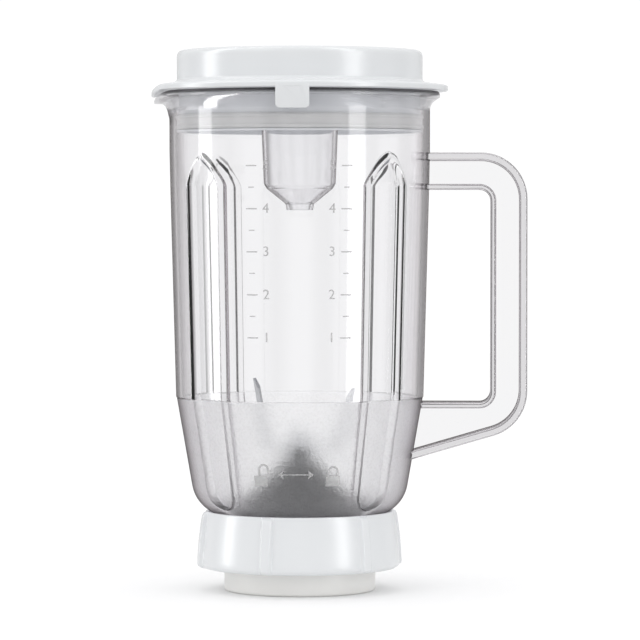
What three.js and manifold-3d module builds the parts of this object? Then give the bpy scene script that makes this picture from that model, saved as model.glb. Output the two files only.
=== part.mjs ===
// A blender jug: clear jug with a D-shaped I-beam handle, plug-in lid with a filler funnel, and a
// quick-thread locking collar that clamps a blade unit under the jug's neck.
// Millimetres, +Z up. The origin is on the jug's axis, at the bottom of the drive skirt. The handle
// points to +X, the pouring spout to -X and the lid's thumb tab to -Y.
import * as THREE from "three";
import { mergeVertices } from "three/addons/utils/BufferGeometryUtils.js";
import Module from "manifold-3d";

const wasm = await Module();
wasm.setup();

// ---------------------------------------------------------------- driving dimensions
const GAP = 0.3; // clearance between pieces that touch

const JUG = {
  wall: 2.6,
  neckOuter: 41,
  neckInner: 38,
  neckBottom: 18.4,
  shoulderRadius: 17.9,
  shoulderTop: { r: 51.7, z: 50.5 },
  frostTop: { r: 59, z: 92.6 },
  frostStep: 0.3,
  mouth: { r: 62.4, z: 207 },
  flareBottom: 229,
  rim: { r: 67.2, z: 239 },
};
const SPOUT = { reach: 3.4, halfAngle: 24, bottom: 226 };
const FLUTE = {
  angles: [45, 135, 225, 315],
  halfAngle: 12.25,
  depth: 4.2,
  bottom: 41,
  foot: 6, // height over which the flute's bottom end deepens
  shoulder: 194,
  tip: 209,
  edge: 4.2, // degrees over which a side wall falls
};
const HANDLE = {
  width: 20,
  outerFlange: 4,
  innerFlange: 2.9,
  web: 3,
  reach: 109,
  top: 209.8,
  outerCorner: 22.3,
  slope: 16.3,
  slopeFoot: { x: 53.7, z: 63.3 },
  openingTop: 192,
  openingReach: 91.3,
  openingBottom: 90.6,
  openingCorner: 5.2,
  rootX: 48, // the arms start here, inside the jug, before they are trimmed to its wall
  webOverlap: 1, // how far the web reaches into each flange
};
const THREAD = {
  lugs: 4,
  firstLug: 45,
  lugAngle: 38,
  lead: 16,
  jugRadius: 43.4,
  collarRadius: 41.4,
  jugLow: 19.6,
  jugHigh: 23.2,
  collarHigh: 27,
};
const KEY = { width: 4, proud: 39.2, slot: 39.5, low: 18.6, high: 30, angles: [0, 180] };
const LID = {
  capRadius: 58.9,
  capTop: 258.7,
  capCorner: 3.5,
  skin: 2.3,
  flangeRadius: 71,
  flangeBottom: 239.8,
  flangeTop: 243,
  plugRadius: 57.8,
  plugBottom: 219.4,
  plugBead: 59.1,
  holeRadius: 20.2,
  seatRadius: 24.6,
  seatHeight: 250.2,
  dishEdge: 51,
  tabWidth: 15.7,
  tabBottom: 229.4,
  tabInner: 68.3,
  tabOuter: 70.8,
  tabCorner: 2,
};
const SEAL = { inner: 58.1, body: 58.8, lip: 59.5, low: 220.6, high: 228 };
const FUNNEL = {
  flange: 24.2,
  flangeLow: 250.5,
  flangeHigh: 252.4,
  top: 19.5,
  bottom: 17.2,
  shoulder: 195,
  cone: 193.2,
  spout: 6.3,
  spoutTop: 185.3,
  end: 182.4,
  wall: 1.6,
};
const COLLAR = {
  top: 38.2,
  bottom: 11,
  topRadius: 45.3,
  bottomRadius: 48,
  bow: 0.5,
  bore: 43.8,
  ledge: 37,
  ledgeTop: 13.5,
  ribs: 6,
  ribFirst: -106.7,
  ribWidth: 4.8,
  ribProud: 1.8,
};
const CARRIER = {
  flangeRadius: 42.5,
  flangeLow: 13.8,
  flangeHigh: 15.8,
  outer: 37.6,
  rimTop: 37.4,
  wall: 2.6,
  bossLow: 17,
  bossTop: 62,
  bossRadius: 9.2,
  bore: 6.6,
};
const GASKET = { inner: 38.2, outer: 41.4, low: 16.1, high: 18.1 };
const SKIRT = { radius: 36.3, wall: 3.6, top: 13.5, fillet: 2, webLow: 10.5, webHole: 15 };
const SCREW = {
  count: 3,
  first: 90,
  circle: 27,
  shank: 1.5,
  head: 3,
  recess: { radius: 1, depth: 0.8 },
  headLow: 8,
  headHigh: 10.2,
  point: 1.4,
  tip: 24,
  boss: 4.2,
  bossTop: 40.5,
  pilot: 1.8,
  pilotTop: 26,
};
const SHAFT = {
  radius: 4,
  low: 7,
  high: 71.5,
  chamfer: 0.6,
  grooveLow: 27.7,
  grooveHigh: 29.3,
  grooveRadius: 3.3,
  tap: 1.8,
  tapDepth: 11,
};
const BEARING = {
  bore: 4.3,
  outer: 6.3,
  lowerLow: 17,
  lowerHigh: 27.4,
  upperLow: 46,
  upperHigh: 56,
  sealLow: 56.4,
  sealHigh: 61,
};
const BLADE = {
  hole: 4.3,
  thick: 1.5,
  root: 6.5,
  lowerSeat: 63.6,
  upperSeat: 65.4,
  stackStart: 62.3,
  lowerTurn: 94,
  upperTurn: 20,
  armStart: 2,
  taperStart: 6,
  slant: 0.8, // how far the tip's cut leans for each millimetre across
};
const ARMS = {
  up: { length: 47.3, root: 5.4, tip: 3, bendStart: 6, bendRadius: 12, rise: 80 },
  upWide: { length: 47, root: 5.4, tip: 3, bendStart: 8.5, bendRadius: 13, rise: 80 },
  down: { length: 29, root: 5.6, tip: 3, bendStart: 11, bendRadius: 8, rise: -22 },
  out: { length: 31, root: 5.6, tip: 3, bendStart: 11, bendRadius: 8, rise: 20 },
};
const SPACER_RADIUS = 7.4;
const WASHER_RADIUS = 7;
const THRUST_RADIUS = 8.4;
const NUT = { low: 68.3, hex: 72.6, acrossCorners: 11.2, domeRadius: 4.9, domeHeight: 0.8 };
const SNAP_RING = { radius: 6.2, gapAngle: 40 };
const COUPLING = {
  radius: 11.6,
  low: 1.4,
  floor: 5,
  shoulder: 12,
  neck: 8,
  high: 15,
  bore: 4.3,
  dogs: 6,
  dogInner: 6.2,
  dogInset: 0.6,
  dogWidth: 4.2,
  screwHole: 2.3,
};
const COUPLING_SCREW = {
  low: 2.4,
  recess: { radius: 1.4, depth: 0.8 },
  head: 4.2,
  bevel: 0.6,
  shank: 1.3,
  shankTop: 16,
  tip: 17,
};

// How many flat sides stand for a full turn, from the widest pieces to the smallest.
const SIDES = {
  jug: 60,
  wide: 40,
  seal: 36,
  carrier: 32,
  funnel: 28,
  coupling: 24,
  shaft: 20,
  screw: 14,
  pin: 10,
};

// ---------------------------------------------------------------- small helpers
const rad = THREE.MathUtils.degToRad;
const smooth = (x, low, high) => THREE.MathUtils.smoothstep(x, low, high);

// Points of an arc from angle a to angle b (degrees), as [r, z] pairs.
function arc(cr, cz, radius, a, b, steps) {
  const points = [];
  for (let i = 0; i <= steps; i++) {
    const t = rad(a + ((b - a) * i) / steps);
    points.push([cr + radius * Math.cos(t), cz + radius * Math.sin(t)]);
  }
  return points;
}

// A closed [r, z] profile, counter-clockwise in the r-z plane, turned about Z.
function turned(profile, segments) {
  const closed = [...profile, profile[0]];
  const points = closed.map(([r, z]) => new THREE.Vector2(r, z));
  return new THREE.LatheGeometry(points, segments).rotateX(Math.PI / 2);
}

// A flat shape in the XY plane, thickened from z = low to z = high.
function plate(shape, low, high, curveSegments = 12) {
  const options = { depth: high - low, bevelEnabled: false, curveSegments };
  return new THREE.ExtrudeGeometry(shape, options).translate(0, 0, low);
}

function circle(radius) {
  return new THREE.Shape().absarc(0, 0, radius, 0, 2 * Math.PI);
}

function box(x, y, z, w, d, h) {
  return new THREE.BoxGeometry(w, d, h).translate(x, y, z);
}

function solid(geometry) {
  const bare = geometry.clone();
  bare.deleteAttribute("normal");
  bare.deleteAttribute("uv");
  const merged = mergeVertices(bare, 1e-4);
  const mesh = new wasm.Mesh({
    numProp: 3,
    vertProperties: merged.attributes.position.array,
    triVerts: new Uint32Array(merged.index.array),
  });
  return new wasm.Manifold(mesh);
}

function join(...geometries) {
  return geometries.map(solid).reduce((whole, piece) => whole.add(piece));
}

function cut(body, ...geometries) {
  return geometries.map(solid).reduce((whole, piece) => whole.subtract(piece), body);
}

function geometryOf(body) {
  const mesh = body.getMesh();
  const geometry = new THREE.BufferGeometry();
  geometry.setAttribute("position", new THREE.BufferAttribute(mesh.vertProperties, 3));
  geometry.setIndex(new THREE.BufferAttribute(mesh.triVerts, 1));
  geometry.computeVertexNormals();
  return geometry;
}

// Moves each vertex: move(vertex) changes a Vector3 in place.
function reshape(geometry, move) {
  const position = geometry.attributes.position;
  const vertex = new THREE.Vector3();
  for (let i = 0; i < position.count; i++) {
    vertex.fromBufferAttribute(position, i);
    move(vertex);
    position.setXYZ(i, vertex.x, vertex.y, vertex.z);
  }
  geometry.computeVertexNormals();
  return geometry;
}

// ---------------------------------------------------------------- materials
const material = (color, roughness, metalness = 0) =>
  new THREE.MeshStandardMaterial({ color, roughness, metalness });
const clearPlastic = () => {
  const made = material(0xe6e6ea, 0.08);
  made.transparent = true;
  made.opacity = 0.35;
  return made;
};
const whitePlastic = () => material(0xf0f1f2, 0.28);
const skirtPlastic = () => material(0xe2e1de, 0.35);
const darkPlastic = () => material(0x3a393d, 0.45);
const softRubber = () => material(0xdcdcda, 0.6);
const darkRubber = () => material(0x2b2b2d, 0.7);
const steel = () => material(0xc4c6c8, 0.22, 1);
const bronze = () => material(0xa9814a, 0.4, 1);

const blender = new THREE.Group();

function add(name, geometry, look, parent = blender) {
  const mesh = new THREE.Mesh(geometry, look);
  mesh.name = name;
  parent.add(mesh);
  return mesh;
}

// ---------------------------------------------------------------- jug
// The jug's section, one side of its wall: offset 0 is the outside and JUG.wall is the inside.
function jugSide(offset) {
  const { shoulderTop, frostTop, shoulderRadius, mouth, rim } = JUG;
  const slope = Math.atan2(frostTop.z - shoulderTop.z, frostTop.r - shoulderTop.r);
  const inward = slope + Math.PI / 2;
  const centre = {
    r: shoulderTop.r + shoulderRadius * Math.cos(inward),
    z: shoulderTop.z + shoulderRadius * Math.sin(inward),
  };
  const neck = offset > 0 ? JUG.neckInner : JUG.neckOuter;
  const radius = shoulderRadius - offset;
  const start = -THREE.MathUtils.radToDeg(Math.acos((neck - centre.r) / radius));
  const end = THREE.MathUtils.radToDeg(slope) - 90;
  return [
    [neck, JUG.neckBottom],
    ...arc(centre.r, centre.z, radius, start, end, 4),
    [frostTop.r - offset, frostTop.z],
    [frostTop.r + JUG.frostStep - offset, frostTop.z + 0.8],
    [mouth.r - offset - 0.35, FLUTE.shoulder],
    [mouth.r - offset - 0.15, 201],
    [mouth.r - offset, mouth.z + 2],
    [mouth.r - offset, JUG.flareBottom],
    [mouth.r - offset + 1.6, JUG.flareBottom + 5],
    [rim.r - offset, rim.z - (offset > 0 ? 0 : 0.6)],
  ];
}

// How deep a flute is at an angle and a height: a flat-floored channel with a pointed top.
function fluteDepth(angle, z) {
  const { angles, halfAngle, depth, bottom, foot, shoulder, tip, edge } = FLUTE;
  if (z <= bottom || z >= tip) return 0;
  const narrowing = z > shoulder ? 1 - (z - shoulder) / (tip - shoulder) : 1;
  const nearest = Math.min(...angles.map((centre) => Math.abs(angle - centre)));
  const inside = halfAngle * narrowing + edge / 2 - nearest;
  return depth * smooth(z, bottom, bottom + foot) * smooth(inside, 0, edge);
}

function spoutReach(angle, z) {
  const away = Math.abs(angle - 180);
  const across = away < SPOUT.halfAngle ? Math.cos(rad((away / SPOUT.halfAngle) * 90)) ** 2 : 0;
  return SPOUT.reach * across * smooth(z, SPOUT.bottom, JUG.rim.z - 3);
}

function jugShell() {
  const profile = [...jugSide(0), ...jugSide(JUG.wall).reverse()];
  return reshape(turned(profile, SIDES.jug), (v) => {
    const radius = Math.hypot(v.x, v.y);
    const around = (THREE.MathUtils.radToDeg(Math.atan2(v.y, v.x)) + 360) % 360;
    const scale = (radius - fluteDepth(around, v.z) + spoutReach(around, v.z)) / radius;
    v.x *= scale;
    v.y *= scale;
  });
}

// A lug of the quick thread: a sector whose top and bottom climb with the thread's lead.
function threadLug(centre, inner, outer, low, high) {
  const half = rad(THREAD.lugAngle / 2);
  const shape = new THREE.Shape();
  shape.absarc(0, 0, outer, -half, half, false);
  shape.absarc(0, 0, inner, half, -half, true);
  const lug = plate(shape, low, high, 4);
  reshape(lug, (v) => {
    v.z += (THREAD.lead * Math.atan2(v.y, v.x)) / (2 * Math.PI);
  });
  return lug.rotateZ(rad(centre));
}

function threadLugs(inner, outer, low, high) {
  const pitch = 360 / THREAD.lugs;
  return Array.from({ length: THREAD.lugs }, (_, i) =>
    threadLug(THREAD.firstLug + i * pitch, inner, outer, low, high),
  );
}

function keyBlock(angle, outer, width, low, high) {
  const inner = CARRIER.outer - 1;
  const block = box((inner + outer) / 2, 0, (low + high) / 2, outer - inner, width, high - low);
  return block.rotateZ(rad(angle));
}

function jugBody() {
  const lugs = threadLugs(JUG.neckOuter - 1, THREAD.jugRadius, THREAD.jugLow, THREAD.jugHigh);
  const body = join(jugShell(), ...lugs);
  const slots = KEY.angles.map((angle) =>
    keyBlock(angle, KEY.slot, KEY.width + 2 * GAP, JUG.neckBottom - 1, KEY.high + 1),
  );
  return geometryOf(cut(body, ...slots));
}

// The handle's outline in the x-z plane, set in from its outer edge.
function handleOuter(inset) {
  const { reach, top, outerCorner, slope, slopeFoot, rootX } = HANDLE;
  const radius = outerCorner - inset;
  const cornerX = reach - outerCorner;
  const tilt = rad(slope);
  const buried = (slopeFoot.x - rootX) * 2;
  const footX = slopeFoot.x - inset * Math.sin(tilt) - buried * Math.cos(tilt);
  const footZ = slopeFoot.z + inset * Math.cos(tilt) - buried * Math.sin(tilt);
  // the slope's outer line is tangent to the lower corner's arc
  const lineAtCorner = slopeFoot.z + (cornerX - slopeFoot.x) * Math.tan(tilt);
  const cornerZ = lineAtCorner + outerCorner / Math.cos(tilt);
  const shape = new THREE.Shape();
  shape.moveTo(footX, footZ);
  shape.lineTo(cornerX + radius * Math.sin(tilt), cornerZ - radius * Math.cos(tilt));
  shape.absarc(cornerX, cornerZ, radius, tilt - Math.PI / 2, 0, false);
  shape.absarc(cornerX, top - outerCorner, radius, 0, Math.PI / 2, false);
  shape.lineTo(rootX, top - inset);
  shape.closePath();
  return shape;
}

// The finger opening's outline, grown outwards by offset.
function handleOpening(offset) {
  const { openingTop, openingReach, openingBottom, openingCorner, rootX } = HANDLE;
  const radius = openingCorner + offset;
  const x = openingReach - openingCorner;
  const path = new THREE.Path();
  path.moveTo(rootX - 1, openingBottom - offset);
  path.lineTo(x, openingBottom - offset);
  path.absarc(x, openingBottom + openingCorner, radius, -Math.PI / 2, 0, false);
  path.absarc(x, openingTop - openingCorner, radius, 0, Math.PI / 2, false);
  path.lineTo(rootX - 1, openingTop + offset);
  path.closePath();
  return path;
}

function handleLayer(inset, offset, width) {
  const outer = solid(plate(handleOuter(inset), -width / 2, width / 2, 8).rotateX(Math.PI / 2));
  const hole = new THREE.Shape(handleOpening(offset).getPoints(6));
  return outer.subtract(solid(plate(hole, -width, width).rotateX(Math.PI / 2)));
}

function jugHandle() {
  const { width, web, webOverlap, outerFlange, innerFlange } = HANDLE;
  const flanges = handleLayer(0, 0, width).subtract(handleLayer(outerFlange, innerFlange, width + 2));
  const beam = flanges.add(handleLayer(webOverlap, webOverlap, web));
  const wall = jugSide(0).map(([r, z]) => [r + GAP, z]);
  const inside = [...wall, [JUG.rim.r, LID.capTop], [0, LID.capTop], [0, 0], [JUG.neckOuter, 0]];
  return geometryOf(beam.subtract(solid(turned(inside, SIDES.jug))));
}

add("jug_body", jugBody(), clearPlastic());
add("jug_handle", jugHandle(), clearPlastic());

// ---------------------------------------------------------------- lid, seal and funnel
function lidShell() {
  const l = LID;
  const inner = l.plugRadius - l.skin;
  return turned(
    [
      [inner, l.plugBottom],
      [l.plugBead, l.plugBottom],
      [l.plugBead, l.plugBottom + 0.9],
      [l.plugRadius, l.plugBottom + 1.2],
      [l.plugRadius, l.flangeBottom],
      [l.flangeRadius - 2, l.flangeBottom],
      [l.flangeRadius - 0.9, l.flangeBottom - 1],
      [l.flangeRadius, l.flangeBottom - 0.8],
      [l.flangeRadius, l.flangeTop - 1.5],
      [l.flangeRadius - 1, l.flangeTop - 0.2],
      [l.capRadius + 1.7, l.flangeTop + 0.3],
      [l.capRadius, l.flangeTop + 1.6],
      ...arc(l.capRadius - l.capCorner, l.capTop - l.capCorner, l.capCorner, 0, 90, 3),
      [l.dishEdge, l.capTop],
      [l.seatRadius + 1.6, l.seatHeight + 3.2],
      [l.seatRadius, l.seatHeight + 2.4],
      [l.seatRadius, l.seatHeight],
      [l.holeRadius, l.seatHeight],
      [l.holeRadius, l.seatHeight - l.skin - 0.4],
      [l.seatRadius + 1.8, l.seatHeight - l.skin + 0.4],
      [l.dishEdge - 0.6, l.capTop - l.skin],
      [inner, l.capTop - l.skin - 0.6],
    ],
    SIDES.wide,
  );
}

function thumbTab() {
  const { tabWidth, tabBottom, tabInner, tabOuter, tabCorner, flangeBottom } = LID;
  const half = tabWidth / 2;
  const shape = new THREE.Shape();
  shape.moveTo(-half, flangeBottom + 1.5);
  shape.lineTo(-half, tabBottom + tabCorner);
  shape.absarc(-half + tabCorner, tabBottom + tabCorner, tabCorner, Math.PI, 1.5 * Math.PI, false);
  shape.absarc(half - tabCorner, tabBottom + tabCorner, tabCorner, 1.5 * Math.PI, 2 * Math.PI, false);
  shape.lineTo(half, flangeBottom + 1.5);
  shape.closePath();
  return plate(shape, tabInner, tabOuter, 4).rotateX(Math.PI / 2);
}

function lidSeal() {
  const { inner, body, lip, low, high } = SEAL;
  return turned(
    [
      [inner, low],
      [body, low],
      [lip, low + 1],
      [lip, low + 1.5],
      [body, low + 2.3],
      [body, high - 2.3],
      [lip, high - 1.6],
      [lip, high - 1.1],
      [body, high],
      [inner, high],
    ],
    SIDES.wide,
  );
}

function fillerFunnel() {
  const f = FUNNEL;
  return turned(
    [
      [f.top - f.wall, f.flangeHigh],
      [f.bottom - f.wall, f.shoulder - 0.6],
      [f.bottom - f.wall - 1.3, f.cone + 0.5],
      [f.spout - f.wall + 1, f.spoutTop + 1.3],
      [f.spout - f.wall, f.end],
      [f.spout, f.end],
      [f.spout + 0.6, f.spoutTop],
      [f.bottom - 1.4, f.cone],
      [f.bottom, f.shoulder],
      [f.top, f.flangeLow],
      [f.flange, f.flangeLow],
      [f.flange, f.flangeHigh],
    ],
    SIDES.funnel,
  );
}

add("lid", geometryOf(join(lidShell(), thumbTab())), whitePlastic());
add("lid_seal", lidSeal(), softRubber());
add("funnel", fillerFunnel(), clearPlastic());

// ---------------------------------------------------------------- locking collar
// The collar's outer face bows outwards a little on its way down.
function collarRadiusAt(z) {
  const { top, bottom, topRadius, bottomRadius, bow } = COLLAR;
  const down = (top - z) / (top - bottom);
  return topRadius + (bottomRadius - topRadius) * down + bow * Math.sin(Math.PI * down);
}

function collarShell(grow) {
  const { top, bottom, bore, ledge, ledgeTop } = COLLAR;
  const heights = [bottom + 2.4, 20, 29, top - 0.8];
  return turned(
    [
      [ledge, bottom],
      [collarRadiusAt(bottom) - 2.4 + grow, bottom],
      [collarRadiusAt(bottom) - 0.7 + grow, bottom + 0.8],
      ...heights.map((z) => [collarRadiusAt(z) + grow, z]),
      [collarRadiusAt(top) - 0.6 + grow, top],
      [bore, top],
      [bore, ledgeTop],
      [ledge, ledgeTop],
    ],
    SIDES.wide,
  );
}

function lockingCollar() {
  const { ribs, ribFirst, ribWidth, ribProud, bottom, bottomRadius, top, bore } = COLLAR;
  const shell = solid(collarShell(0));
  const grown = solid(collarShell(ribProud));
  const height = top - bottom;
  const outside = bottomRadius + ribProud + 1;
  const bars = Array.from({ length: ribs }, (_, i) => {
    const middle = (bore + outside) / 2 + 0.5;
    const bar = box(middle, 0, bottom + height / 2, outside - bore, ribWidth, height + 2);
    return solid(bar.rotateZ(rad(ribFirst + (i * 360) / ribs)));
  });
  const { collarRadius, jugHigh, collarHigh } = THREAD;
  const lugs = threadLugs(collarRadius, bore + 0.6, jugHigh + GAP, collarHigh).map(solid);
  const added = [...bars.map((bar) => bar.intersect(grown)), ...lugs];
  return geometryOf(added.reduce((whole, piece) => whole.add(piece), shell));
}

add("locking_collar", lockingCollar(), whitePlastic());

// ---------------------------------------------------------------- blade carrier, gasket and skirt
function screwPlaces() {
  return Array.from({ length: SCREW.count }, (_, i) => {
    const angle = rad(SCREW.first + (i * 360) / SCREW.count);
    return { x: SCREW.circle * Math.cos(angle), y: SCREW.circle * Math.sin(angle) };
  });
}

// A round bar at each screw's place.
function atScrews(radius, low, high, curveSegments) {
  const bar = plate(circle(radius), low, high, curveSegments);
  return screwPlaces().map(({ x, y }) => bar.clone().translate(x, y, 0));
}

// A dark moulding that closes the neck: a rim flange, a hollow floor and a hollow mountain that
// holds the bearings.
function bladeCarrier() {
  const c = CARRIER;
  const shell = turned(
    [
      [c.outer - c.wall, c.flangeLow],
      [c.flangeRadius, c.flangeLow],
      [c.flangeRadius, c.flangeHigh],
      [c.outer, c.flangeHigh],
      [c.outer, c.rimTop - 1],
      [c.outer - 1, c.rimTop],
      [30, 41.5],
      [22, 47.5],
      [15, 54.5],
      [c.bossRadius, c.bossTop - 1],
      [c.bossRadius - 1, c.bossTop],
      [c.bore, c.bossTop],
      [c.bore, c.bossLow],
      [c.bossRadius, c.bossLow],
      [c.bossRadius, 54],
      [14, 50.5],
      [21, 43.5],
      [29, 38],
      [c.outer - c.wall, c.rimTop - c.wall],
    ],
    SIDES.carrier,
  );
  const bosses = atScrews(SCREW.boss, c.flangeLow, SCREW.bossTop, 6);
  const pilots = atScrews(SCREW.pilot, c.flangeLow - 1, SCREW.pilotTop, 4);
  const keys = KEY.angles.map((angle) => keyBlock(angle, KEY.proud, KEY.width, KEY.low, KEY.high));
  return geometryOf(cut(join(shell, ...bosses, ...keys), ...pilots));
}

function baseSkirt() {
  const { radius, wall, top, fillet, webLow, webHole } = SKIRT;
  const shell = turned(
    [
      [radius - wall, 0],
      ...arc(radius - fillet, fillet, fillet, -90, 0, 3),
      [radius, top],
      [webHole, top],
      [webHole, webLow],
      [radius - wall, webLow],
    ],
    SIDES.wide,
  );
  return geometryOf(cut(solid(shell), ...atScrews(SCREW.pilot, webLow - 1, top + 1, 4)));
}

function carrierScrew() {
  const { shank, head, recess, headLow, headHigh, point, tip } = SCREW;
  const profile = [
    [0, headLow + recess.depth],
    [recess.radius, headLow + recess.depth],
    [recess.radius, headLow],
    [head - 0.5, headLow],
    [head, headLow + 0.7],
    [head, headHigh],
    [shank, headHigh],
    [shank, tip - point],
    [0, tip],
  ];
  return turned(profile, SIDES.pin);
}

const tube = (inner, outer, low, high, segments = SIDES.shaft) =>
  turned([[inner, low], [outer, low], [outer, high], [inner, high]], segments);

const bearingTube = (low, high) => tube(BEARING.bore, BEARING.outer, low, high);

add("blade_carrier", bladeCarrier(), darkPlastic());
add("jug_gasket", tube(GASKET.inner, GASKET.outer, GASKET.low, GASKET.high, SIDES.seal), darkRubber());
add("base_skirt", baseSkirt(), skirtPlastic());
add("lower_bearing", bearingTube(BEARING.lowerLow, BEARING.lowerHigh), bronze());
add("upper_bearing", bearingTube(BEARING.upperLow, BEARING.upperHigh), bronze());
add("shaft_seal", bearingTube(BEARING.sealLow, BEARING.sealHigh), darkRubber());
screwPlaces().forEach(({ x, y }, i) => {
  add(`carrier_screw_${i + 1}`, carrierScrew(), steel()).position.set(x, y, 0);
});

// ---------------------------------------------------------------- rotor
// One arm of a blade: a flat strip that tapers to a slanted tip, then bends up or down. It is
// straight to the bend, follows the bend's radius, then runs straight again.
function bladeArm(arm) {
  const { armStart, taperStart, thick, slant } = BLADE;
  const lengthwise = 11;
  const strip = new THREE.BoxGeometry(arm.length - armStart, 1, thick, lengthwise, 1, 1);
  strip.translate((arm.length + armStart) / 2, 0, thick / 2);
  const turn = rad(Math.abs(arm.rise));
  const side = Math.sign(arm.rise);
  const arcLength = arm.bendRadius * turn;
  return reshape(strip, (v) => {
    const taper = smooth(v.x, taperStart, arm.length);
    const across = 2 * v.y * (arm.root + (arm.tip - arm.root) * taper);
    const along = v.x - arm.bendStart - slant * taper * across;
    const swept = (THREE.MathUtils.clamp(along, 0, arcLength) / arcLength) * turn;
    const beyond = Math.max(along - arcLength, 0) + Math.min(along, 0);
    const radius = arm.bendRadius - side * v.z;
    v.x = arm.bendStart + radius * Math.sin(swept) + beyond * Math.cos(swept);
    v.y = across;
    v.z = side * (arm.bendRadius - radius * Math.cos(swept) + beyond * Math.sin(swept));
  });
}

function blade(right, left, seat, turn) {
  const hub = plate(circle(BLADE.root), 0, BLADE.thick, 8);
  const body = join(hub, bladeArm(right), bladeArm(left).rotateZ(Math.PI));
  const bore = plate(circle(BLADE.hole), -1, BLADE.thick + 1, 5);
  return geometryOf(cut(body, bore)).translate(0, 0, seat).rotateZ(rad(turn));
}

function driveShaft() {
  const s = SHAFT;
  return turned(
    [
      [0, s.low + s.tapDepth],
      [s.tap - 0.2, s.low + s.tapDepth],
      [s.tap, s.low],
      [s.radius - s.chamfer, s.low],
      [s.radius, s.low + s.chamfer],
      [s.radius, s.grooveLow],
      [s.grooveRadius, s.grooveLow],
      [s.grooveRadius, s.grooveHigh],
      [s.radius, s.grooveHigh],
      [s.radius, s.high - s.chamfer],
      [s.radius - s.chamfer, s.high],
      [0, s.high],
    ],
    SIDES.shaft,
  );
}

function bladeNut() {
  const { low, hex, acrossCorners, domeRadius, domeHeight } = NUT;
  const prism = new THREE.CylinderGeometry(acrossCorners / 2, acrossCorners / 2, hex - low, 6);
  prism.rotateX(Math.PI / 2).translate(0, 0, (low + hex) / 2);
  const dome = new THREE.SphereGeometry(domeRadius, SIDES.screw, 8);
  dome.scale(1, 1, domeHeight).translate(0, 0, hex);
  const bore = plate(circle(BLADE.hole), low - 1, SHAFT.high + GAP, 5);
  return geometryOf(cut(join(prism, dome), bore));
}

// A snap ring: a ring with a gap on one side.
function retainingRing() {
  const inner = SHAFT.grooveRadius + GAP;
  const start = rad(SNAP_RING.gapAngle);
  const end = 2 * Math.PI - start;
  const shape = new THREE.Shape();
  shape.absarc(0, 0, SNAP_RING.radius, start, end, false);
  shape.absarc(0, 0, inner, end, start, true);
  shape.closePath();
  return plate(shape, SHAFT.grooveLow + GAP, SHAFT.grooveHigh - GAP, 12);
}

// The drive dog: a sleeve on the shaft whose lower face carries radial teeth.
function driveCoupling() {
  const c = COUPLING;
  const sleeve = turned(
    [
      [c.screwHole, c.floor],
      [c.radius - 1, c.floor],
      [c.radius, c.floor + 1],
      [c.radius, c.shoulder],
      [c.neck, c.high],
      [c.bore, c.high],
      [c.bore, SHAFT.low - GAP],
      [c.screwHole, SHAFT.low - GAP],
    ],
    SIDES.coupling,
  );
  const depth = c.floor - c.low + 1;
  const long = c.radius - c.dogInset - c.dogInner;
  const dogs = Array.from({ length: c.dogs }, (_, i) => {
    const dog = box(c.dogInner + long / 2, 0, c.low + depth / 2, long, c.dogWidth, depth);
    return dog.rotateZ(rad((i * 360) / c.dogs));
  });
  return geometryOf(join(sleeve, ...dogs));
}

function couplingScrew() {
  const { low, recess, head, bevel, shank, shankTop, tip } = COUPLING_SCREW;
  const profile = [
    [0, low + recess.depth],
    [recess.radius, low + recess.depth],
    [recess.radius, low],
    [head - bevel, low],
    [head, low + bevel],
    [head, COUPLING.floor - GAP],
    [shank, COUPLING.floor - GAP],
    [shank, shankTop],
    [0, tip],
  ];
  return turned(profile, SIDES.screw);
}

add("drive_shaft", driveShaft(), steel());
add("blade_spacer", tube(BLADE.hole, SPACER_RADIUS, BLADE.stackStart, BLADE.lowerSeat - GAP), steel());
add("blade_lower", blade(ARMS.down, ARMS.out, BLADE.lowerSeat, BLADE.lowerTurn), steel());
add("blade_upper", blade(ARMS.upWide, ARMS.up, BLADE.upperSeat, BLADE.upperTurn), steel());
const washerLow = BLADE.upperSeat + BLADE.thick + GAP;
add("blade_washer", tube(BLADE.hole, WASHER_RADIUS, washerLow, NUT.low - GAP), steel());
add("blade_nut", bladeNut(), steel());
add("retaining_ring", retainingRing(), steel());
const thrustHigh = BEARING.lowerLow - GAP;
add("thrust_washer", tube(BLADE.hole, THRUST_RADIUS, COUPLING.high + GAP, thrustHigh), bronze());
add("drive_coupling", driveCoupling(), darkPlastic());
add("coupling_screw", couplingScrew(), steel());

export default blender;
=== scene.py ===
"""A clear blender jug with its lid, filler funnel, locking collar and blade unit, on a pale floor.

Blender 4.5, metres, the same frame as the CAD: the jug's axis is Z, the handle points to +X and the
lid's thumb tab to -Y. Each section starts with its driving sizes in millimetres. The small hidden
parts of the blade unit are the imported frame's own meshes, with new materials.
"""

import math

import bmesh
import bpy
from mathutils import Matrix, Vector


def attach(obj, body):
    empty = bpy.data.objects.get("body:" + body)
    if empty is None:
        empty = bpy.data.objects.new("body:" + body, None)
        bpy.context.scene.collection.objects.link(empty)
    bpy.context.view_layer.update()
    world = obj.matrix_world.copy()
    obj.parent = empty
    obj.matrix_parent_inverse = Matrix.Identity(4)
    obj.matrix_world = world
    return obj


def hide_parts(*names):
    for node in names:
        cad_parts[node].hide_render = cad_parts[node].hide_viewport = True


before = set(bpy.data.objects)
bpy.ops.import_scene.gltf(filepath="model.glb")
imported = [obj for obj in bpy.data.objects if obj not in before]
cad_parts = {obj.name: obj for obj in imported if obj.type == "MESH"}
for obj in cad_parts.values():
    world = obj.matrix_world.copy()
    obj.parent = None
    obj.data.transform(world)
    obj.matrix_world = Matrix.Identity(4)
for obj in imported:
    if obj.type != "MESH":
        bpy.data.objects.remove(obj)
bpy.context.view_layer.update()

MM = 0.001
TAU = 2 * math.pi

# ------------------------------------------------------------------ small helpers


def smoothstep(x, low, high):
    t = min(max((x - low) / (high - low), 0.0), 1.0)
    return t * t * (3 - 2 * t)


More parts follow.
